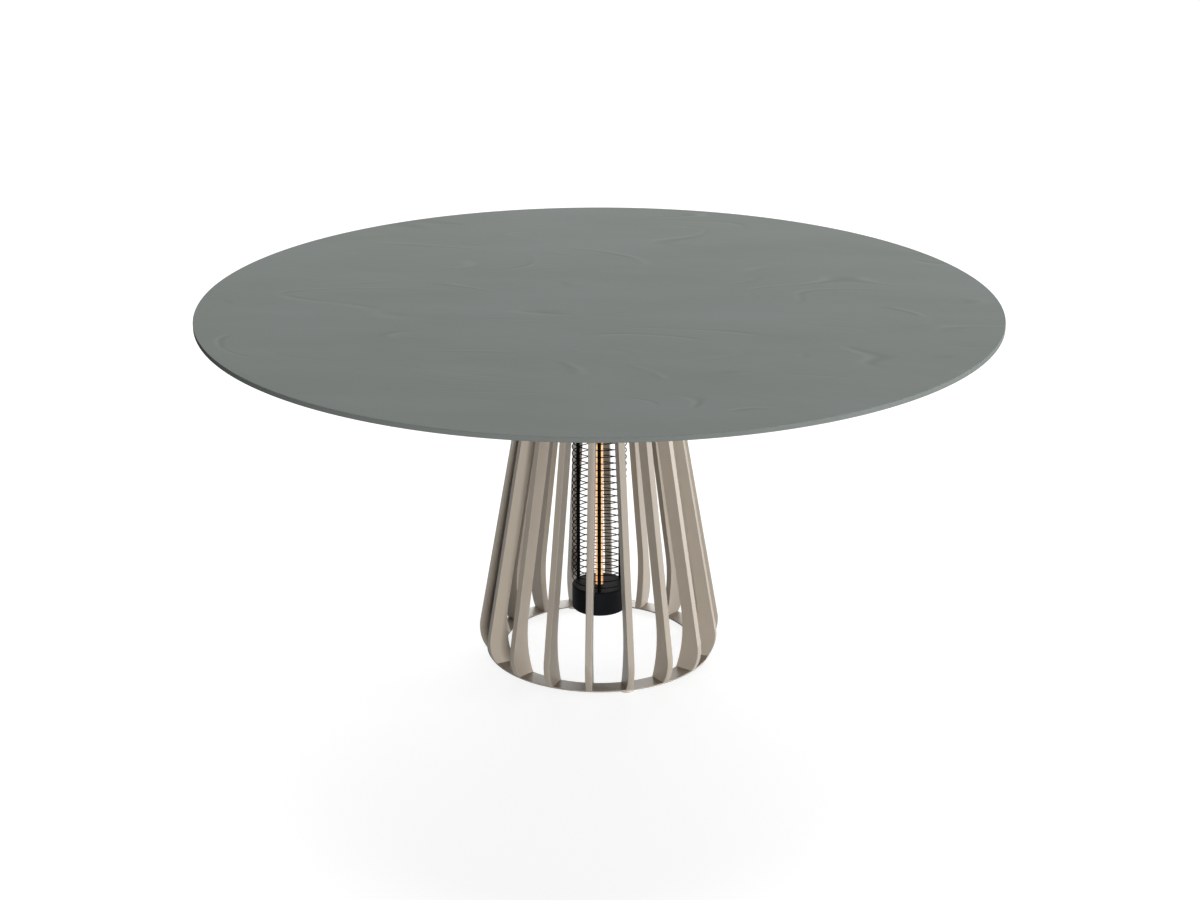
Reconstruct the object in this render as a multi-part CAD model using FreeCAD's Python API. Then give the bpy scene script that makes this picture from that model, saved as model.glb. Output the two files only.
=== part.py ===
import FreeCAD, Part
import math
import os

Vector = FreeCAD.Vector
AXIS = Vector(0, 0, 0)
UP = Vector(0, 0, 1)

# Round patio table: a thin top on a cone of upright slats, with an electric heater hung inside.
# Millimetres. The origin is on the floor, on the axis of the table. The first slat stands at -Y.

# Whole table and its top
table_height = 750.0
top_dia = 1600.0
top_thick = 10.0
top_ease = 1.2

# Clearances: a seat between rigid pieces, a sliding stud and a fixed screw
seat_gap = 0.3
stud_clearance = 0.1
screw_clearance = 0.3

# Small round pieces are drawn with flat sides, to keep the count of faces low
small_sides = 10

# Base ring and the four feet under it
ring_lift = 7.0
ring_outer_dia = 471.0
ring_width = 38.5
ring_thick = 3.0
foot_count = 4
foot_turn = 20.0
foot_dia = 32.0
foot_edge = 1.5
foot_sides = 20
stud_dia = 8.0
stud_length = 20.0
stud_end_room = 1.0
bush_dia = 15.0
bush_height = 14.0

# Slats: flat bars that lean inwards and end in a boot on the base ring.
# The line of the outer edge runs from the overhang outside the ring, at the floor, to the head.
slat_count = 18
slat_thick = 13.5
slat_width = 28.8
slat_overhang = 25.7
slat_head_r = 132.14
heel_radius = 81.0
instep_radius = 276.0

# Hexagonal hub on the slats, and the arms that carry the top
hub_flats = 340.0
hub_thick = 6.0
arm_count = 6
arm_width = 40.0
arm_thick = 5.0
arm_corner = 8.0
arm_start_r = 62.0
arm_reach_r = 640.0
web_thick = 5.0
web_depth = 26.0
web_tip_depth = 6.0
web_tip_back = 50.0
top_screw_dia = 6.0
top_screw_bite = 7.0
top_screw_back = 20.0

# Heater: flange, housing, wire guard, lamp and lower cap.
# The guard's wire is wound round the rods, and a span is its way from one rod to the next.
heater_turn = 5.0
flange_flats = 150.0
flange_thick = 6.0
case_dia = 113.0
case_ease = 2.5
case_room = 76.0
case_deck = 8.0
case_floor = 4.0
housing_height = 63.0
cap_height = 51.7
guard_height = 514.0
rod_count = 3
rod_dia = 7.5
rod_circle_r = 50.3
coil_wire = 2.2
coil_end_gap = 1.4
coil_spans = 107
facets_per_span = 5
tube_dia = 16.0
tube_wall = 1.2
tube_grip = 16.0
element_width = 10.0
element_thick = 1.2
lamp_hole_dia = 20.0
holder_side = 28.0
holder_height = 22.0
gland_nut_dia = 25.0
gland_nut_thick = 6.0
gland_dome_dia = 18.0
gland_dome_length = 13.0
gland_dome_taper = 3.0
gland_bore_dia = 8.0
gland_thread_dia = 15.0
gland_thread_length = 9.0
heater_screw_dia = 6.0
heater_screw_circle_r = 66.0
heater_screw_bite = 5.0
screw_head_height = 4.0
screw_head_ratio = 1.9

# Levels, from the floor up and from the top down
ring_top = ring_lift + ring_thick
top_under = table_height - top_thick
hub_top = top_under - arm_thick
hub_under = hub_top - hub_thick
flange_under = hub_under - flange_thick
housing_under = flange_under - housing_height
cap_top = housing_under - guard_height
cap_bottom = cap_top - cap_height
lamp_bottom = cap_top - case_deck - tube_grip
lamp_top = housing_under + case_deck + tube_grip
gland_level = (flange_under + housing_under) / 2

# Radii and angles that follow from the sizes above
ring_outer_r = ring_outer_dia / 2
ring_inner_r = ring_outer_r - ring_width
foot_circle_r = (ring_outer_r + ring_inner_r) / 2
slat_floor_r = ring_outer_r + slat_overhang
stud_hole_r = stud_dia / 2 + stud_clearance
top_screw_hole_r = top_screw_dia / 2 + screw_clearance
top_screw_circle_r = arm_reach_r - top_screw_back
heater_screw_hole_r = heater_screw_dia / 2 + screw_clearance
case_r = case_dia / 2
lean = math.atan((slat_floor_r - slat_head_r) / hub_under)
slat_step = 360.0 / slat_count
slat_angles = [slat_step * k for k in range(slat_count)]
foot_angles = [foot_turn + 360.0 * k / foot_count for k in range(foot_count)]
arm_angles = [360.0 * k / arm_count for k in range(arm_count)]
rod_angles = [heater_turn + 360.0 * k / rod_count for k in range(rod_count)]
flange_screw_angles = [angle + 180.0 / rod_count for angle in rod_angles]


def turned(shape, degrees):
    """Swing a piece that was drawn along +X, so that 0 degrees puts it at -Y."""
    shape = shape.copy()
    shape.rotate(AXIS, UP, degrees - 90.0)
    return shape


def around(shape, angles):
    return Part.makeCompound([turned(shape, angle) for angle in angles])


def disc(radius, low, high):
    return Part.makeCylinder(radius, high - low, Vector(0, 0, low))


def tube(outer, inner, low, high):
    return disc(outer, low, high).cut(disc(inner, low, high))


def square_block(side, low, high):
    return Part.makeBox(side, side, high - low, Vector(-side / 2, -side / 2, low))


def rounded_rims(shape, ease):
    """Break the sharp edges of a plain disc."""
    rims = [edge for edge in shape.Edges if isinstance(edge.Curve, Part.Circle)]
    return shape.makeChamfer(ease, rims)


def corner_radius(sides, across_flats):
    return across_flats / 2 / math.cos(math.pi / sides)


def closed_solid(outlines):
    """A solid bounded by flat faces, each given by the points round it."""
    faces = [Part.Face(Part.makePolygon(points + points[:1])) for points in outlines]
    solid = Part.Solid(Part.Shell(faces))
    if solid.Volume < 0:
        solid.reverse()
    return solid


def faceted(sides, profile, reach=0.0):
    """An upright solid with flat sides, through (corner radius, level) pairs from the bottom up."""
    loops = []
    for radius, level in profile:
        angles = [2 * math.pi * k / sides for k in range(sides)]
        loop = [Vector(reach + radius * math.cos(a), radius * math.sin(a), level) for a in angles]
        loops.append(loop)
    outlines = [loops[0], loops[-1]]
    for lower, upper in zip(loops, loops[1:]):
        for k in range(sides):
            after = (k + 1) % sides
            outlines.append([lower[k], lower[after], upper[after], upper[k]])
    return closed_solid(outlines)


def small_round(radius, reach, low, high):
    """A small pin or hole cutter, at a distance from the axis along +X."""
    return faceted(small_sides, [(radius, low), (radius, high)], reach)


def hexagon(across_flats, low, high):
    radius = corner_radius(6, across_flats)
    return faceted(6, [(radius, low), (radius, high)])


def hex_screw(dia, seat, bite, reach):
    """A hexagon screw that points up, with its head under the seat."""
    head_r = dia * screw_head_ratio / 2
    head = faceted(6, [(head_r, seat - screw_head_height), (head_r, seat)], reach)
    return head.fuse(small_round(dia / 2, reach, seat, seat + bite))


def edge_radius(level, inset=0.0):
    """Radius of a slat's straight outer edge at a level, or of a line set in from it."""
    return slat_floor_r - inset - level * math.tan(lean)


def boot_arc(line_r, radius, toe):
    """Arc from a toe point up to where it meets a leaning edge without a kink."""
    along = Vector(-math.sin(lean), 0, math.cos(lean))
    inward = Vector(-math.cos(lean), 0, -math.sin(lean))
    offset = toe - Vector(line_r, 0, 0) - inward * radius
    middle = offset.dot(along)
    rise = middle + math.sqrt(middle ** 2 - offset.dot(offset) + radius ** 2)
    tangent = Vector(line_r, 0, 0) + along * rise
    centre = tangent + inward * radius
    bisector = (tangent - centre) + (toe - centre)
    halfway = centre + bisector.normalize() * radius
    return Part.Arc(toe, halfway, tangent).toShape(), tangent


def slat_blank():
    outer_toe = Vector(ring_outer_r, 0, ring_top)
    inner_toe = Vector(ring_inner_r, 0, ring_top)
    heel, heel_end = boot_arc(slat_floor_r, heel_radius, outer_toe)
    instep, instep_end = boot_arc(slat_floor_r - slat_width, instep_radius, inner_toe)
    head_out = Vector(edge_radius(hub_under), 0, hub_under)
    head_in = Vector(edge_radius(hub_under, slat_width), 0, hub_under)
    edges = [heel]
    edges.append(Part.makeLine(heel_end, head_out))
    edges.append(Part.makeLine(head_out, head_in))
    edges.append(Part.makeLine(head_in, instep_end))
    edges.append(instep)
    edges.append(Part.makeLine(inner_toe, outer_toe))
    face = Part.Face(Part.Wire(Part.__sortEdges__(edges)))
    blank = face.extrude(Vector(0, slat_thick, 0))
    blank.translate(Vector(0, -slat_thick / 2, 0))
    return blank


def has_slat(angle):
    """True where a slat stands in this direction."""
    nearest = round(angle / slat_step) * slat_step
    return abs(nearest - angle) < 1.0


def slats():
    """The upright slats. One that stands over a foot takes its stud in a hole."""
    blank = slat_blank()
    stud_room_top = ring_lift + stud_length + stud_end_room
    stud_room = small_round(stud_hole_r, foot_circle_r, ring_top, stud_room_top)
    over_feet = [angle % 360.0 for angle in foot_angles if has_slat(angle)]
    nodes = {}
    for number, angle in enumerate(slat_angles, 1):
        is_over_foot = any(abs(angle - foot) < 1.0 for foot in over_feet)
        piece = blank.cut(stud_room) if is_over_foot else blank
        nodes["slat_%02d" % number] = turned(piece, angle)
    return nodes


def base_ring():
    ring = tube(ring_outer_r, ring_inner_r, ring_lift, ring_top)
    hole = small_round(stud_hole_r, foot_circle_r, ring_lift, ring_top)
    return ring.cut(around(hole, foot_angles))


def foot_bushes():
    """Threaded bushes on the base ring, for the feet that no slat stands on."""
    bush_r = bush_dia / 2
    bush_top = ring_top + bush_height
    bush = faceted(2 * small_sides, [(bush_r, ring_top), (bush_r, bush_top)], foot_circle_r)
    bush = bush.cut(small_round(stud_hole_r, foot_circle_r, ring_top, bush_top))
    return around(bush, [angle for angle in foot_angles if not has_slat(angle)])


def foot():
    """A levelling foot: a low glide with a threaded stud, screwed fully in."""
    glide_top = ring_lift - seat_gap
    glide_r = foot_dia / 2
    profile = [(glide_r - foot_edge, 0.0), (glide_r, foot_edge), (glide_r, glide_top)]
    glide = faceted(foot_sides, profile, foot_circle_r)
    stud = small_round(stud_dia / 2, foot_circle_r, glide_top, ring_lift + stud_length)
    return glide.fuse(stud)


def table_top():
    top = rounded_rims(disc(top_dia / 2, top_under, table_height), top_ease)
    hole_depth = top_screw_bite + screw_clearance
    hole = small_round(top_screw_hole_r, top_screw_circle_r, top_under, top_under + hole_depth)
    return top.cut(around(hole, arm_angles))


def hub_plate():
    hole = small_round(heater_screw_hole_r, heater_screw_circle_r, hub_under, hub_top)
    return hexagon(hub_flats, hub_under, hub_top).cut(around(hole, flange_screw_angles))


def top_arm():
    """A flat flange on top of the hub, with a tapered web under it beyond the hub."""
    half = arm_width / 2
    outline = [
        Vector(arm_start_r, -half, hub_top),
        Vector(arm_reach_r - arm_corner, -half, hub_top),
        Vector(arm_reach_r, arm_corner - half, hub_top),
        Vector(arm_reach_r, half - arm_corner, hub_top),
        Vector(arm_reach_r - arm_corner, half, hub_top),
        Vector(arm_start_r, half, hub_top),
    ]
    flange = Part.Face(Part.makePolygon(outline + outline[:1])).extrude(Vector(0, 0, arm_thick))
    side = -web_thick / 2
    web_start = hub_flats / 2 + seat_gap
    web_end = arm_reach_r - web_tip_back
    web_outline = [
        Vector(web_start, side, hub_top),
        Vector(web_end, side, hub_top),
        Vector(web_end, side, hub_top - web_tip_depth),
        Vector(web_start, side, hub_top - web_depth),
    ]
    web = Part.Face(Part.makePolygon(web_outline + web_outline[:1])).extrude(Vector(0, web_thick, 0))
    hole = small_round(top_screw_hole_r, top_screw_circle_r, hub_top, top_under)
    return flange.fuse(web).cut(hole)


def top_screws():
    screw = hex_screw(top_screw_dia, hub_top, arm_thick + top_screw_bite, top_screw_circle_r)
    return around(screw, arm_angles)


def heater_flange():
    flange = turned(hexagon(flange_flats, flange_under, hub_under), heater_turn)
    hole = small_round(heater_screw_hole_r, heater_screw_circle_r, flange_under, hub_under)
    return flange.cut(around(hole, flange_screw_angles))


def heater_screws():
    bite = flange_thick + heater_screw_bite
    screw = hex_screw(heater_screw_dia, flange_under, bite, heater_screw_circle_r)
    return around(screw, flange_screw_angles)


def lamp_hole(low, high):
    """Hole in a housing's deck, for one end of the lamp."""
    return small_round(corner_radius(small_sides, lamp_hole_dia), 0.0, low, high)


def wiring_room(low, high):
    """Square hollow inside a housing."""
    return turned(square_block(case_room, low, high), heater_turn)


def on_housing(shape, reach):
    """Lay a piece that was drawn upright so that it points to +Y at the gland's level."""
    shape = shape.copy()
    shape.rotate(AXIS, Vector(1, 0, 0), -90.0)
    shape.translate(Vector(0, reach, gland_level))
    return shape


def upper_housing():
    body = disc(case_r, housing_under, flange_under)
    body = body.cut(wiring_room(housing_under + case_deck, flange_under - case_floor))
    body = body.cut(lamp_hole(housing_under, housing_under + case_deck))
    thread_room = small_round(gland_thread_dia / 2 + seat_gap, 0.0, 0.0, case_r)
    return body.cut(on_housing(thread_room, 0.0))


def cable_gland():
    """Inlet for a supply lead: a thread in the housing wall, a nut and a tapered dome."""
    nut_low = gland_thread_length + seat_gap
    nut_high = nut_low + gland_nut_thick
    dome_high = nut_high + gland_dome_length
    dome_r = gland_dome_dia / 2
    dome_profile = [
        (dome_r, nut_high),
        (dome_r, dome_high - gland_dome_taper),
        (dome_r - gland_dome_taper, dome_high),
    ]
    nut = faceted(6, [(gland_nut_dia / 2, nut_low), (gland_nut_dia / 2, nut_high)])
    piece = small_round(gland_thread_dia / 2, 0.0, 0.0, nut_low)
    piece = piece.fuse(nut).fuse(faceted(2 * small_sides, dome_profile))
    piece = piece.cut(small_round(gland_bore_dia / 2, 0.0, 0.0, dome_high))
    return on_housing(piece, case_r - gland_thread_length)


def lower_cap():
    cap = rounded_rims(disc(case_r, cap_bottom, cap_top), case_ease)
    cap = cap.cut(wiring_room(cap_bottom + case_floor, cap_top - case_deck))
    return cap.cut(lamp_hole(cap_top - case_deck, cap_top))


def guard_rods():
    return around(small_round(rod_dia / 2, rod_circle_r, cap_top, housing_under), rod_angles)


def coil_section(step, low, rise):
    """Corners of the coil's wire at one of its bends, as it climbs round the rods."""
    inner_r = rod_circle_r + rod_dia / 2 + seat_gap
    outer_r = inner_r + coil_wire
    angle = -2 * math.pi * step / (facets_per_span * rod_count)
    under = low + rise * step - coil_wire / 2
    over = under + coil_wire
    corners = [(inner_r, under), (outer_r, under), (outer_r, over), (inner_r, over)]
    return [Vector(r * math.cos(angle), r * math.sin(angle), level) for r, level in corners]


def guard_coil():
    """One wire wound round the rods in flat facets, with a bend at each rod."""
    steps = coil_spans * facets_per_span
    rise = (guard_height - 2 * coil_end_gap) / steps
    sections = [coil_section(step, cap_top + coil_end_gap, rise) for step in range(steps + 1)]
    outlines = [sections[0], sections[-1]]
    for here, there in zip(sections, sections[1:]):
        under_in, under_out, over_out, over_in = here
        next_under_in, next_under_out, next_over_out, next_over_in = there
        outlines.append([under_out, over_out, next_over_out, next_under_out])
        outlines.append([over_in, under_in, next_under_in, next_over_in])
        outlines.append([under_in, under_out, next_under_out])
        outlines.append([under_in, next_under_out, next_under_in])
        outlines.append([over_out, over_in, next_over_in])
        outlines.append([over_out, next_over_in, next_over_out])
    one_turn_on = sections[facets_per_span * rod_count:]
    gap = min(above[0].distanceToPoint(below[3]) for below, above in zip(sections, one_turn_on))
    print("Least gap between the turns of the guard coil:", round(gap, 2), "mm")
    return turned(closed_solid(outlines), rod_angles[-1])


def lamp_tube():
    return tube(tube_dia / 2, tube_dia / 2 - tube_wall, lamp_bottom, lamp_top)


def heating_element():
    corner = Vector(-element_thick / 2, -element_width / 2, lamp_bottom)
    strip = Part.makeBox(element_thick, element_width, lamp_top - lamp_bottom, corner)
    return turned(strip, heater_turn)


def lamp_holder(low, socket_low, socket_high):
    """A square ceramic block with a blind round socket for one end of the lamp."""
    sides = 2 * small_sides
    socket_r = corner_radius(sides, tube_dia + 2 * seat_gap)
    socket = faceted(sides, [(socket_r, socket_low), (socket_r, socket_high)])
    return turned(square_block(holder_side, low, low + holder_height).cut(socket), heater_turn)


def lamp_holders():
    """One holder under the cap's deck and one over the housing's."""
    lower_seat = cap_top - case_deck
    upper_seat = housing_under + case_deck
    lower = lamp_holder(lower_seat - holder_height, lamp_bottom - seat_gap, lower_seat)
    upper = lamp_holder(upper_seat, upper_seat, lamp_top + seat_gap)
    return Part.makeCompound([lower, upper])


def all_nodes():
    nodes = {
        "table_top": table_top(),
        "hub_plate": hub_plate(),
        "base_ring": base_ring(),
        "foot_bushes": foot_bushes(),
        "top_screws": top_screws(),
        "heater_flange": heater_flange(),
        "heater_screws": heater_screws(),
        "upper_housing": upper_housing(),
        "cable_gland": cable_gland(),
        "guard_rods": guard_rods(),
        "guard_coil": guard_coil(),
        "lamp_tube": lamp_tube(),
        "heating_element": heating_element(),
        "lamp_holders": lamp_holders(),
        "lower_cap": lower_cap(),
    }
    nodes.update(slats())
    arm = top_arm()
    for number, angle in enumerate(arm_angles, 1):
        nodes["top_arm_%d" % number] = turned(arm, angle)
    single_foot = foot()
    for number, angle in enumerate(foot_angles, 1):
        nodes["levelling_foot_%d" % number] = turned(single_foot, angle)
    return nodes


os.makedirs("parts", exist_ok=True)
for name, shape in all_nodes().items():
    if not shape.isValid():
        raise ValueError("the shape of " + name + " is not valid")
    shape.exportStep(os.path.join("parts", name + ".step"))
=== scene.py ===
import math

import bmesh
import bpy
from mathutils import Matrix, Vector


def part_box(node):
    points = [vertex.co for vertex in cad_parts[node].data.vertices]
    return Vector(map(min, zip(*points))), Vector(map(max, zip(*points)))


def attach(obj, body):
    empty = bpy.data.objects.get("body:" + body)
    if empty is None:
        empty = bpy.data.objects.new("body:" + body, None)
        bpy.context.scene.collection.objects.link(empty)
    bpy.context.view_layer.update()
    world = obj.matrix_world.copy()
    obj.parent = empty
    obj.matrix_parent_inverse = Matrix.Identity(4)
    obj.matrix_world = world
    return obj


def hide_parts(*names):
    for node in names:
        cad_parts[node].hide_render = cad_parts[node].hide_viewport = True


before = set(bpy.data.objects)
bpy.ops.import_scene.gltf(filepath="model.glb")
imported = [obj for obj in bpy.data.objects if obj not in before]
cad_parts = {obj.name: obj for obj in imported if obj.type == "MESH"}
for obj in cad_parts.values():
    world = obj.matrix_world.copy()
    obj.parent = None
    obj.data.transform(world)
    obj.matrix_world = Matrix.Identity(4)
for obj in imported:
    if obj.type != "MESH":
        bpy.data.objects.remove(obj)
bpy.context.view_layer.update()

# Base ring: a flat ring, laser cut from 3 mm steel plate, that all the slats are welded to.
# The welded base is blasted and powder coated in one piece: satin, greige, with a fine orange peel
# that breaks up its reflections, and with a film that rounds every edge.

mm = 0.001


def linear(code):
    """Linear colour of an sRGB hex value."""
    channels = [int(code[k:k + 2], 16) / 255 for k in (1, 3, 5)]
    return [c / 12.92 if c <= 0.04045 else ((c + 0.055) / 1.055) ** 2.4 for c in channels] + [1.0]


def add_node(material, kind, inputs=None, **settings):
    """One shader node with its settings, and with its inputs set or linked."""
    node = material.node_tree.nodes.new("ShaderNode" + kind)
    for name, value in settings.items():
        setattr(node, name, value)
    for name, value in (inputs or {}).items():
        if isinstance(value, bpy.types.NodeSocket):
            material.node_tree.links.new(value, node.inputs[name])
        else:
            node.inputs[name].default_value = value
    return node


def new_material(name):
    material = bpy.data.materials.new(name)
    material.use_nodes = True
    material.node_tree.nodes.clear()
    return material


def powder_coat(name, colour, thin_colour, roughness, shine):
    """Baked polyester powder on metal. The peel is drawn at 1.5 mm, the real one's coarse end."""
    material = new_material(name)
    place = add_node(material, "TexCoord").outputs["Object"]
    cloud = add_node(material, "TexNoise", {"Vector": place, "Scale": 1 / (60 * mm), "Detail": 3.0})
    colours = add_node(material, "Mix", {
        "Factor": cloud.outputs["Fac"],
        "A": linear(colour),
        "B": linear(thin_colour),
    }, data_type="RGBA")
    peel = add_node(material, "TexNoise", {"Vector": place, "Scale": 1 / (1.5 * mm), "Detail": 2.0})
    gloss = add_node(material, "MapRange", {
        "Value": peel.outputs["Fac"],
        "To Min": roughness - 0.05,
        "To Max": roughness + 0.05,
    })
    bump = add_node(material, "Bump", {
        "Height": peel.outputs["Fac"],
        "Strength": 0.25,
        "Distance": 0.05 * mm,
    })
    coat = add_node(material, "BsdfPrincipled", {
        "Base Color": colours.outputs["Result"],
        "Roughness": gloss.outputs["Result"],
        "Normal": bump.outputs["Normal"],
        "IOR": 1.5,
        "Specular IOR Level": shine,
    })
    add_node(material, "OutputMaterial", {"Surface": coat.outputs["BSDF"]})
    return material


def dress(name, material):
    """A CAD node keeps its shape and gets a finish."""
    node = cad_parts[name]
    node.data.materials.clear()
    node.data.materials.append(material)
    return node


def ease_edges(node, width):
    """Rounds a plate's edges by the radius that tumbling and the coat leave on them."""
    weld = node.modifiers.new("weld", "WELD")
    weld.merge_threshold = 0.01 * mm
    bevel = node.modifiers.new("eased edges", "BEVEL")
    bevel.width = width
    bevel.segments = 3
    bevel.limit_method = "ANGLE"
    bevel.angle_limit = math.radians(35)
    bevel.harden_normals = True


base_coat = powder_coat("satin greige powder coat", "#A69C8F", "#9F9588", 0.4, 0.4)
ease_edges(dress("base_ring", base_coat), 0.5 * mm)

# Slats: 18 solid flats on edge, each cut from steel plate with a boot at its foot.
# They stand on the base ring and lean in to the hub, welded at both ends and coated with them.
# Their long edges are rounded by about a millimetre, which gives each one a thin bright line.

slat_names = ["slat_%02d" % number for number in range(1, 19)]
for name in slat_names:
    ease_edges(dress(name, base_coat), 1.0 * mm)

# Foot bushes: turned steel bushes, welded on the ring where a foot stands between two slats.
# They take the coat of the base, and their bore is tapped for the foot's stud.


def lathe(name, profile, steps, material, centre=(0.0, 0.0)):
    """Turns a closed profile of (radius, level) points round an upright line. Radii of 0 close it."""
    mesh = bmesh.new()
    columns = []
    for step in range(steps):
        angle = 2 * math.pi * step / steps
        x, y = math.cos(angle), math.sin(angle)
        column = [mesh.verts.new((centre[0] + r * x, centre[1] + r * y, z)) for r, z in profile]
        columns.append(column)
    for step in range(steps):
        here, there = columns[step], columns[(step + 1) % steps]
        for k in range(len(profile)):
            after = (k + 1) % len(profile)
            mesh.faces.new((here[k], there[k], there[after], here[after]))
    bmesh.ops.remove_doubles(mesh, verts=mesh.verts, dist=0.001 * mm)
    return finished_mesh(name, mesh, material)


def finished_mesh(name, mesh, material):
    """Makes a piece of a bmesh, smooth but for its sharp edges."""
    bmesh.ops.recalc_face_normals(mesh, faces=mesh.faces)
    data = bpy.data.meshes.new(name)
    mesh.to_mesh(data)
    mesh.free()
    data.shade_smooth()
    data.set_sharp_from_angle(angle=math.radians(40))
    data.materials.append(material)
    piece = bpy.data.objects.new(name, data)
    bpy.context.scene.collection.objects.link(piece)
    return piece


def rounded(radius, level, ease, up):
    """A rounded rim of a turned piece, from its side round to its end face."""
    steps = 4
    points = []
    for step in range(steps + 1):
        turn = math.pi / 2 * step / steps
        rim_r = radius - ease * (1 - math.cos(turn))
        rim_z = level - up * ease * (1 - math.sin(turn))
        points.append((rim_r, rim_z))
    return points


def joined(name, parts):
    """Makes one piece of several meshes of the same material."""
    with bpy.context.temp_override(active_object=parts[0], selected_editable_objects=parts):
        bpy.ops.object.join()
    parts[0].name = name
    return parts[0]


def around_axis(radius, angle):
    """A point at a radius from the table's axis. Angles run from -Y towards +X."""
    return radius * math.sin(angle), -radius * math.cos(angle)


ring_outer_r = 235.5 * mm
ring_inner_r = 197 * mm
foot_circle_r = (ring_outer_r + ring_inner_r) / 2
foot_turns = [20, 110, 200, 290]
foot_places = [around_axis(foot_circle_r, math.radians(turn)) for turn in foot_turns]
bush_low, bush_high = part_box("foot_bushes")[0].z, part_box("foot_bushes")[1].z
bush_r = 7.5 * mm
bush_bore_r = 4.1 * mm
bush_profile = [(bush_bore_r, bush_low), (bush_r, bush_low)]
bush_profile += rounded(bush_r, bush_high, 0.6 * mm, 1)
bush_profile += [(bush_bore_r, bush_high)]
bushes = [lathe("bush", bush_profile, 40, base_coat, foot_places[k]) for k in (1, 3)]
foot_bushes = joined("turned_foot_bushes", bushes)
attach(foot_bushes, "table")
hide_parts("foot_bushes")

# Levelling feet: glides of natural nylon, moulded round the hexagon head of a zinc-plated M8 stud.
# Each is screwed up into the base. Under the ring only a low rim shows, pale, waxy and dull.


def moulded_nylon(name, colour, worn_colour):
    """Nylon from a spark-eroded mould: an even, fine grain of about 0.8 mm with no clear highlight."""
    material = new_material(name)
    place = add_node(material, "TexCoord").outputs["Object"]
    grain = add_node(material, "TexNoise", {"Vector": place, "Scale": 1 / (0.8 * mm), "Detail": 4.0})
    colours = add_node(material, "Mix", {
        "Factor": grain.outputs["Fac"],
        "A": linear(colour),
        "B": linear(worn_colour),
    }, data_type="RGBA")
    gloss = add_node(material, "MapRange", {
        "Value": grain.outputs["Fac"],
        "To Min": 0.45,
        "To Max": 0.65,
    })
    bump = add_node(material, "Bump", {
        "Height": grain.outputs["Fac"],
        "Strength": 0.3,
        "Distance": 0.04 * mm,
    })
    nylon = add_node(material, "BsdfPrincipled", {
        "Base Color": colours.outputs["Result"],
        "Roughness": gloss.outputs["Result"],
        "Normal": bump.outputs["Normal"],
        "IOR": 1.53,
    })
    add_node(material, "OutputMaterial", {"Surface": nylon.outputs["BSDF"]})
    return material


glide_nylon = moulded_nylon("moulded natural nylon", "#CFCBBE", "#C6C1B2")

# Plated in a barrel, the zinc is bright but slightly clouded. Its clouds are drawn at 2 mm.
zinc = new_material("zinc-plated steel")
place = add_node(zinc, "TexCoord").outputs["Object"]
spangle = add_node(zinc, "TexNoise", {"Vector": place, "Scale": 1 / (2.0 * mm), "Detail": 3.0})
zinc_gloss = add_node(zinc, "MapRange", {
    "Value": spangle.outputs["Fac"],
    "To Min": 0.28,
    "To Max": 0.42,
})
zinc_metal = add_node(zinc, "BsdfPrincipled", {
    "Base Color": linear("#B9BBBD"),
    "Metallic": 1.0,
    "Roughness": zinc_gloss.outputs["Result"],
})
add_node(zinc, "OutputMaterial", {"Surface": zinc_metal.outputs["BSDF"]})

glide_r = 16 * mm
glide_top = 6.7 * mm
sole_ease = 1.5 * mm
stud_r = 4 * mm
stud_top = 27 * mm
thread_pitch = 1.25 * mm
thread_depth = 0.5 * mm
glide_profile = [(0.0, 0.0), (glide_r - sole_ease, 0.0)]
glide_profile += [(glide_r - 0.4 * mm, 0.5 * mm), (glide_r, sole_ease)]
glide_profile += rounded(glide_r, glide_top, 0.8 * mm, 1)
glide_profile += [(0.0, glide_top)]
stud_profile = [(0.0, glide_top - 1 * mm), (stud_r - thread_depth, glide_top - 1 * mm)]
for turn in range(int((stud_top - glide_top) / thread_pitch)):
    root = glide_top + turn * thread_pitch
    stud_profile += [(stud_r - thread_depth, root), (stud_r, root + thread_pitch / 2)]
stud_profile += [(stud_r - thread_depth, stud_top), (0.0, stud_top)]
for number, centre in enumerate(foot_places, 1):
    glide = lathe("foot_glide_%d" % number, glide_profile, 64, glide_nylon, centre)
    stud = lathe("foot_stud_%d" % number, stud_profile, 32, zinc, centre)
    for piece, slot in ((glide, "foot_rubber"), (stud, "screw_steel")):
        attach(piece, "foot_%d" % number)
    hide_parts("levelling_foot_%d" % number)

# Hub and arms: a laser-cut hexagon of 6 mm plate, with six T-shaped arms welded on it.
# They were coated black before the top went on, a dull coat that keeps them out of sight.

arm_coat = powder_coat("dull black powder coat", "#1C1B1A", "#201F1E", 0.6, 0.1)
ease_edges(dress("hub_plate", arm_coat), 0.6 * mm)
for number in range(1, 7):
    ease_edges(dress("top_arm_%d" % number, arm_coat), 0.5 * mm)

# Heater flange and housing: a hexagon of plate, screwed to the hub, with a turned aluminium case.
# Both are coated satin black for heat, a smooth thin film over the tool marks.

case_coat = powder_coat("satin black heat-proof coat", "#141517", "#17181A", 0.55, 0.03)
ease_edges(dress("heater_flange", case_coat), 0.5 * mm)
ease_edges(dress("upper_housing", case_coat), 0.4 * mm)

# Screws: zinc-plated hexagon screws, six that hold the stone to the arms and three for the heater.
# Their heads sit under the plates, bright but clouded, as plating from a barrel is.

for name in ("heater_screws", "top_screws"):
    ease_edges(dress(name, zinc), 0.3 * mm)

# Cable gland: a black nylon gland in the housing's rear wall, where a supply lead would enter.
# It is moulded, with a hexagon nut and a tapered dome. No lead is fitted.

gland_nylon = moulded_nylon("moulded black nylon", "#1E1E1F", "#252526")
ease_edges(dress("cable_gland", gland_nylon), 0.3 * mm)

# Lower cap: a turned aluminium drum that closes the heater's lower end, coated like the housing.
# Its rims are broken at 45 degrees, so the upper one shows as a thin grey line against the black.

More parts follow.
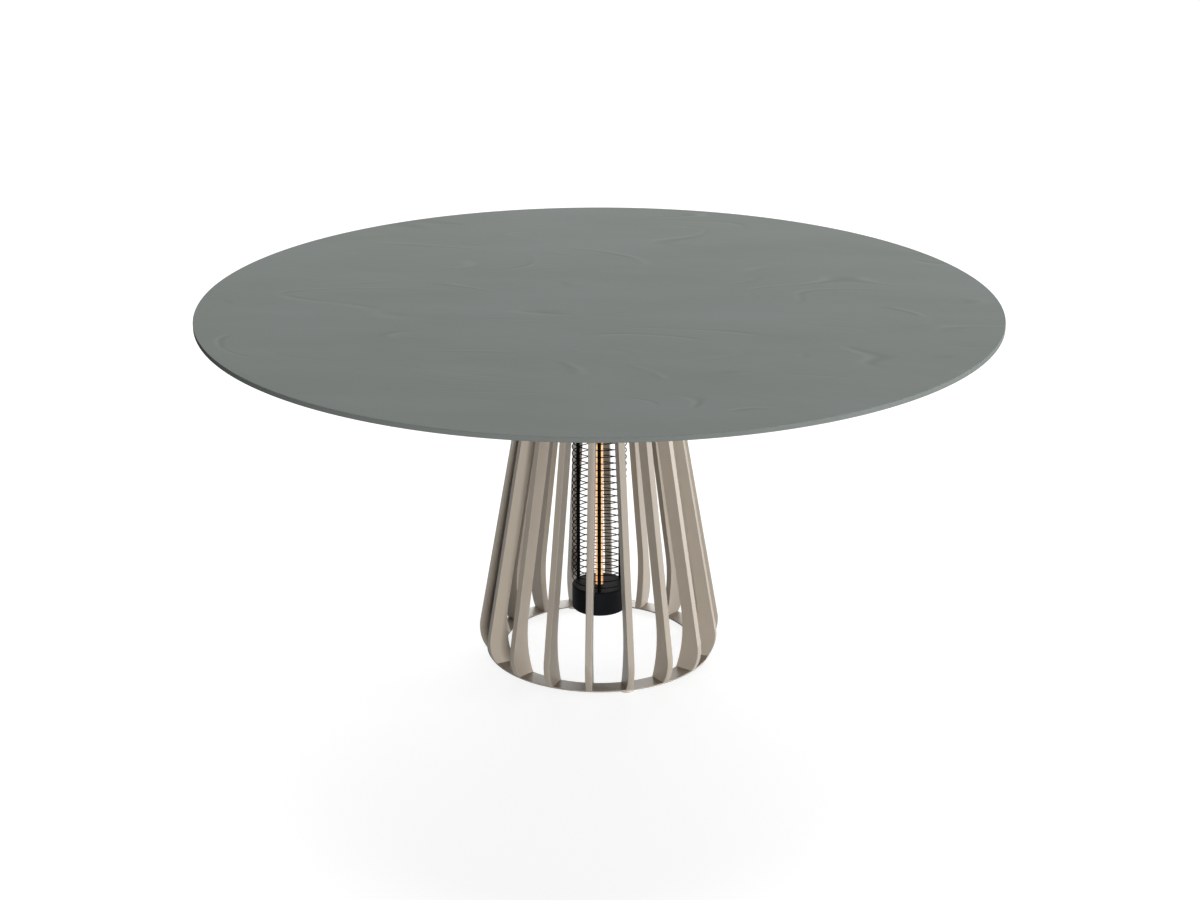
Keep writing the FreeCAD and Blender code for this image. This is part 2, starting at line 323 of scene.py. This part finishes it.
ease_edges(dress("lower_cap", case_coat), 0.3 * mm)

# Guard rods: three steel rods, welded between the cap and the housing to carry the guard's wire.
# They and the wire are coated together, a thin matte black that gives back almost no light.

guard_coat = powder_coat("matte black coat on wire", "#060606", "#090909", 0.6, 0.02)
rod_low, rod_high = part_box("guard_rods")[0].z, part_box("guard_rods")[1].z
rod_r = 3.75 * mm
rod_circle_r = 50.3 * mm
rod_turns = [5, 125, 245]
rod_profile = [(0.0, rod_low), (rod_r, rod_low), (rod_r, rod_high), (0.0, rod_high)]
rods = []
for turn in rod_turns:
    rod_place = around_axis(rod_circle_r, math.radians(turn))
    rods.append(lathe("rod", rod_profile, 24, guard_coat, rod_place))
guard_rods = joined("round_guard_rods", rods)
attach(guard_rods, "table")
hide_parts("guard_rods")

# Guard coil: one steel wire, wound round the three rods as a steady coil and welded to each of them.
# It starts on the rear left rod, just over the cap, and ends on the front rod, under the housing.

wire_r = 1.1 * mm
wire_sides = 8
# A span is the wire's third of a turn from one rod to the next.
coil_spans = 107
steps_per_span = 20
coil_r = rod_circle_r + rod_r + wire_r
coil_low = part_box("guard_coil")[0].z + wire_r
coil_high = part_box("guard_coil")[1].z - wire_r
coil_steps = coil_spans * steps_per_span
coil_mesh = bmesh.new()
sections = []
for step in range(coil_steps + 1):
    angle = math.radians(rod_turns[2]) - 2 * math.pi / 3 * step / steps_per_span
    level = coil_low + (coil_high - coil_low) * step / coil_steps
    section = []
    for side in range(wire_sides):
        turn = 2 * math.pi * side / wire_sides
        x, y = around_axis(coil_r + wire_r * math.cos(turn), angle)
        section.append(coil_mesh.verts.new((x, y, level + wire_r * math.sin(turn))))
    sections.append(section)
for here, there in zip(sections, sections[1:]):
    for side in range(wire_sides):
        after = (side + 1) % wire_sides
        coil_mesh.faces.new((here[side], here[after], there[after], there[side]))
coil_mesh.faces.new(sections[0])
coil_mesh.faces.new(sections[-1])
guard_coil = finished_mesh("wound_guard_coil", coil_mesh, guard_coat)
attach(guard_coil, "table")
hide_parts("guard_coil")

# Lamp holders: pressed steatite blocks behind the decks of cap and housing, one for each lamp end.
# An unglazed ceramic: off-white and chalky, with a fine speckle.

steatite = new_material("pressed steatite ceramic")
place = add_node(steatite, "TexCoord").outputs["Object"]
speckle = add_node(steatite, "TexNoise", {"Vector": place, "Scale": 1 / (0.7 * mm), "Detail": 4.0})
speckle_colour = add_node(steatite, "Mix", {
    "Factor": speckle.outputs["Fac"],
    "A": linear("#D8D2C4"),
    "B": linear("#E6E1D6"),
}, data_type="RGBA")
speckle_bump = add_node(steatite, "Bump", {
    "Height": speckle.outputs["Fac"],
    "Strength": 0.3,
    "Distance": 0.05 * mm,
})
steatite_body = add_node(steatite, "BsdfPrincipled", {
    "Base Color": speckle_colour.outputs["Result"],
    "Roughness": 0.75,
    "Normal": speckle_bump.outputs["Normal"],
    "IOR": 1.55,
})
add_node(steatite, "OutputMaterial", {"Surface": steatite_body.outputs["BSDF"]})
ease_edges(dress("lamp_holders", steatite), 0.5 * mm)

# Lamp: a twisted strip of woven carbon in a clear quartz tube, switched on.
# The hot quartz glows peach and shows as a warm fringe. The strip in it is near white, and yellower.

tube_low, tube_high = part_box("lamp_tube")[0].z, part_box("lamp_tube")[1].z
tube_r = 8 * mm
bore_r = 6.8 * mm
quartz = new_material("clear fused quartz, hot")
place = add_node(quartz, "TexCoord").outputs["Object"]
drawn = add_node(quartz, "TexNoise", {"Vector": place, "Scale": 1 / (12 * mm), "Detail": 1.0})
heat = add_node(quartz, "Mix", {
    "Factor": drawn.outputs["Fac"],
    "A": linear("#FF9A6E"),
    "B": linear("#FFE0BE"),
}, data_type="RGBA")
clear = add_node(quartz, "BsdfTransparent", {"Color": linear("#FFF8EC")})
warm = add_node(quartz, "Emission", {"Color": heat.outputs["Result"], "Strength": 1.1})
quartz_wall = add_node(quartz, "MixShader", {
    "Fac": 0.35,
    1: clear.outputs["BSDF"],
    2: warm.outputs["Emission"],
})
add_node(quartz, "OutputMaterial", {"Surface": quartz_wall.outputs["Shader"]})
tube_profile = [(bore_r, tube_low), (tube_r, tube_low), (tube_r, tube_high), (bore_r, tube_high)]
quartz_tube = lathe("quartz_tube", tube_profile, 48, quartz)
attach(quartz_tube, "table")
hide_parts("lamp_tube")

carbon = new_material("woven carbon, at white heat")
place = add_node(carbon, "TexCoord").outputs["Object"]
# The strip is a little hotter and cooler by turns. A wave texture repeats every 2 pi / (20 x scale).
zone_length = 25.13 * mm
hot_zones = add_node(carbon, "TexWave", {
    "Vector": place,
    "Scale": 2 * math.pi / (20 * zone_length),
    "Distortion": 0.5,
}, bands_direction="Z")
brightness = add_node(carbon, "MapRange", {
    "Value": hot_zones.outputs["Fac"],
    "To Min": 1.2,
    "To Max": 1.6,
})
carbon_glow = add_node(carbon, "Emission", {
    "Color": linear("#FFF27A"),
    "Strength": brightness.outputs["Result"],
})
add_node(carbon, "OutputMaterial", {"Surface": carbon_glow.outputs["Emission"]})
strip_half_width = 6.2 * mm
strip_half_thick = 0.6 * mm
strip_turn = 28 * mm
strip_steps = 480
strip_mesh = bmesh.new()
strip_sections = []
for step in range(strip_steps + 1):
    level = tube_low + (tube_high - tube_low) * step / strip_steps
    angle = 2 * math.pi * (level - tube_low) / strip_turn
    wide = Vector((math.cos(angle), math.sin(angle), 0)) * strip_half_width
    thick = Vector((-math.sin(angle), math.cos(angle), 0)) * strip_half_thick
    middle = Vector((0, 0, level))
    corners = (wide + thick, thick - wide, -wide - thick, wide - thick)
    strip_sections.append([strip_mesh.verts.new(middle + corner) for corner in corners])
for lower, upper in zip(strip_sections, strip_sections[1:]):
    for k in range(4):
        strip_mesh.faces.new((lower[k], lower[(k + 1) % 4], upper[(k + 1) % 4], upper[k]))
strip_mesh.faces.new(strip_sections[0])
strip_mesh.faces.new(strip_sections[-1])
carbon_strip = finished_mesh("twisted_carbon_strip", strip_mesh, carbon)
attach(carbon_strip, "table")
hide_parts("heating_element")

# Table top: one round slab of sintered stone, 10 mm thick, on the arms, with its edges eased by hand.
# Its face is honed: a flat grey-green with faint clouds and long, thin marks, as if it was trowelled.

stone = new_material("honed sintered stone")
place = add_node(stone, "TexCoord").outputs["Object"]
# The trowel ran mostly along X, so clouds and marks are drawn 2.5 times as long that way.
swept = add_node(stone, "Mapping", {"Vector": place, "Scale": (0.4, 1.0, 1.0)}).outputs["Vector"]
clouds = add_node(stone, "TexNoise", {
    "Vector": swept,
    "Scale": 1 / (130 * mm),
    "Detail": 5.0,
    "Roughness": 0.6,
})
stone_colour = add_node(stone, "Mix", {
    "Factor": clouds.outputs["Fac"],
    "A": linear("#707571"),
    "B": linear("#7B807E"),
}, data_type="RGBA")
sweeps = add_node(stone, "TexNoise", {"Vector": swept, "Scale": 1 / (330 * mm), "Detail": 1.0})
pressure = add_node(stone, "TexNoise", {"Vector": swept, "Scale": 1 / (110 * mm), "Detail": 2.0})
pressed = add_node(stone, "MapRange", {
    "Value": pressure.outputs["Fac"],
    "From Min": 0.5,
    "From Max": 0.66,
}, interpolation_type="SMOOTHSTEP")


def trowel_mark(base, level, colour):
    """A thin curved line where the sweeps pass this level, strongest where the trowel pressed."""
    offset = add_node(stone, "Math", {0: sweeps.outputs["Fac"], 1: level}, operation="SUBTRACT")
    nearness = add_node(stone, "Math", {0: offset.outputs[0]}, operation="ABSOLUTE")
    line = add_node(stone, "MapRange", {
        "Value": nearness.outputs[0],
        "From Max": 0.006,
        "To Min": 1.0,
        "To Max": 0.0,
    }, interpolation_type="SMOOTHSTEP")
    strength = add_node(stone, "Math", {0: line.outputs["Result"], 1: pressed.outputs["Result"]},
                        operation="MULTIPLY")
    return add_node(stone, "Mix", {
        "Factor": strength.outputs[0],
        "A": base.outputs["Result"],
        "B": linear(colour),
    }, data_type="RGBA")


shade_step = 0.008
for level in (0.38, 0.44, 0.5, 0.56, 0.62):
    stone_colour = trowel_mark(stone_colour, level, "#7B807D")
    stone_colour = trowel_mark(stone_colour, level + shade_step, "#707571")
grit = add_node(stone, "TexNoise", {"Vector": place, "Scale": 1 / (1.2 * mm), "Detail": 3.0})
honed = add_node(stone, "MapRange", {"Value": grit.outputs["Fac"], "To Min": 0.68, "To Max": 0.8})
stone_grain = add_node(stone, "Bump", {
    "Height": grit.outputs["Fac"],
    "Strength": 0.2,
    "Distance": 0.04 * mm,
})
stone_body = add_node(stone, "BsdfPrincipled", {
    "Base Color": stone_colour.outputs["Result"],
    "Roughness": honed.outputs["Result"],
    "Normal": stone_grain.outputs["Normal"],
    "IOR": 1.5,
    "Specular IOR Level": 0.01,
})
add_node(stone, "OutputMaterial", {"Surface": stone_body.outputs["BSDF"]})
top_r = 800 * mm
top_low, top_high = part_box("table_top")[0].z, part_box("table_top")[1].z
edge_ease = 1.2 * mm
top_profile = [(0.0, top_low)]
top_profile += list(reversed(rounded(top_r, top_low, edge_ease, -1)))
top_profile += rounded(top_r, top_high, edge_ease, 1)
top_profile += [(0.0, top_high)]
slab = lathe("round_stone_slab", top_profile, 360, stone)
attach(slab, "table")
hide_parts("table_top")

# Studio floor: matte paper, pale to the eye and in reflections, where it keeps the table's shadow.
# To the light itself it is a dark grey, so that little of it comes back up under the table.

floor_paper = new_material("pale matte paper")
place = add_node(floor_paper, "TexCoord").outputs["Object"]
tone = add_node(floor_paper, "TexNoise", {"Vector": place, "Scale": 1 / (1250 * mm), "Detail": 2.0})
floor_colour = add_node(floor_paper, "Mix", {
    "Factor": tone.outputs["Fac"],
    "A": linear("#8C8C8C"),
    "B": linear("#909090"),
}, data_type="RGBA")
paper = add_node(floor_paper, "BsdfDiffuse", {"Color": floor_colour.outputs["Result"]})
lift = add_node(floor_paper, "Emission", {"Color": linear("#FFFFFF"), "Strength": 0.87})
lit_paper = add_node(floor_paper, "AddShader", {0: paper.outputs["BSDF"], 1: lift.outputs["Emission"]})
dim_paper = add_node(floor_paper, "BsdfDiffuse", {"Color": linear("#404040")})


def seen_ray(material):
    """1 for rays that look at the background, from the camera, in a gloss or through glass."""
    rays = add_node(material, "LightPath")
    direct = add_node(material, "Math", {
        0: rays.outputs["Is Camera Ray"],
        1: rays.outputs["Is Glossy Ray"],
    }, operation="MAXIMUM")
    return add_node(material, "Math", {
        0: direct.outputs[0],
        1: rays.outputs["Is Transmission Ray"],
    }, operation="MAXIMUM").outputs[0]


floor_mix = add_node(floor_paper, "MixShader", {
    "Fac": seen_ray(floor_paper),
    1: dim_paper.outputs["BSDF"],
    2: lit_paper.outputs["Shader"],
})
add_node(floor_paper, "OutputMaterial", {"Surface": floor_mix.outputs["Shader"]})
floor_reach = 30.0
floor_corners = [
    (-floor_reach, -floor_reach, 0),
    (floor_reach, -floor_reach, 0),
    (floor_reach, floor_reach, 0),
    (-floor_reach, floor_reach, 0),
]
floor_mesh = bpy.data.meshes.new("studio_floor")
floor_mesh.from_pydata(floor_corners, [], [(0, 1, 2, 3)])
floor_mesh.materials.append(floor_paper)
floor = bpy.data.objects.new("studio_floor", floor_mesh)
bpy.context.scene.collection.objects.link(floor)

# Studio light: an even light from above and behind for the top, and two low softboxes, far enough
# away to reach in under it: the key square to the right, the other a little right of the camera.
# The room is white to the eye and in reflections, and gives almost no light of its own.

world = bpy.data.worlds.new("white room")
world.use_nodes = True
world.node_tree.nodes.clear()
bpy.context.scene.world = world
room = add_node(world, "Background", {"Color": linear("#FFFFFF"), "Strength": 0.03})
white = add_node(world, "Background", {"Color": linear("#FFFFFF"), "Strength": 1.0})
sky = add_node(world, "MixShader", {
    "Fac": seen_ray(world),
    1: room.outputs["Background"],
    2: white.outputs["Background"],
})
add_node(world, "OutputWorld", {"Surface": sky.outputs["Shader"]})


def place_lamp(lamp, place, aim):
    holder = bpy.data.objects.new(lamp.name, lamp)
    holder.location = place
    holder.rotation_euler = (place - aim).to_track_quat("Z", "Y").to_euler()
    holder.visible_camera = False
    bpy.context.scene.collection.objects.link(holder)


def softbox(name, turn, level):
    """A low softbox at a turn round the table. Level is how light it makes a white card facing it."""
    distance = 8.0
    height = 0.6
    aim_height = 0.5
    lamp = bpy.data.lights.new(name, "AREA")
    lamp.shape = "RECTANGLE"
    lamp.size = 2.4
    lamp.size_y = 1.15
    lamp.energy = level * (math.pi * distance) ** 2
    x, y = around_axis(distance, math.radians(turn))
    place_lamp(lamp, Vector((x, y, height)), Vector((0, 0, aim_height)))


softbox("key", 95, 1.05)
softbox("front right", 14, 0.82)
sky_level = 1.42
sky_light = bpy.data.lights.new("light from above", "SUN")
sky_light.energy = sky_level * math.pi
sky_light.angle = math.radians(60)
place_lamp(sky_light, Vector((0, 5, 5)), Vector((0, 0, 0)))

# The photo's camera: about 4.4 m away and 2.03 m up, looking down by 19.8 degrees.
# It stands 5 degrees round to the right of the first slat.

camera_data = bpy.data.cameras.new("camera")
camera_data.sensor_width = 36.0
camera_data.lens = 69.09
camera = bpy.data.objects.new("camera", camera_data)
camera_turn = math.radians(5.08)
camera_distance = 4.4193
camera_height = 2.0321
camera_pitch = math.radians(19.817)
axis_offset = math.radians(0.0187)
camera.location = (*around_axis(camera_distance, camera_turn), camera_height)
camera.rotation_euler = (math.pi / 2 - camera_pitch, 0.0, camera_turn - axis_offset)
bpy.context.scene.collection.objects.link(camera)
bpy.context.scene.camera = camera
bpy.context.scene.view_settings.view_transform = "Standard"
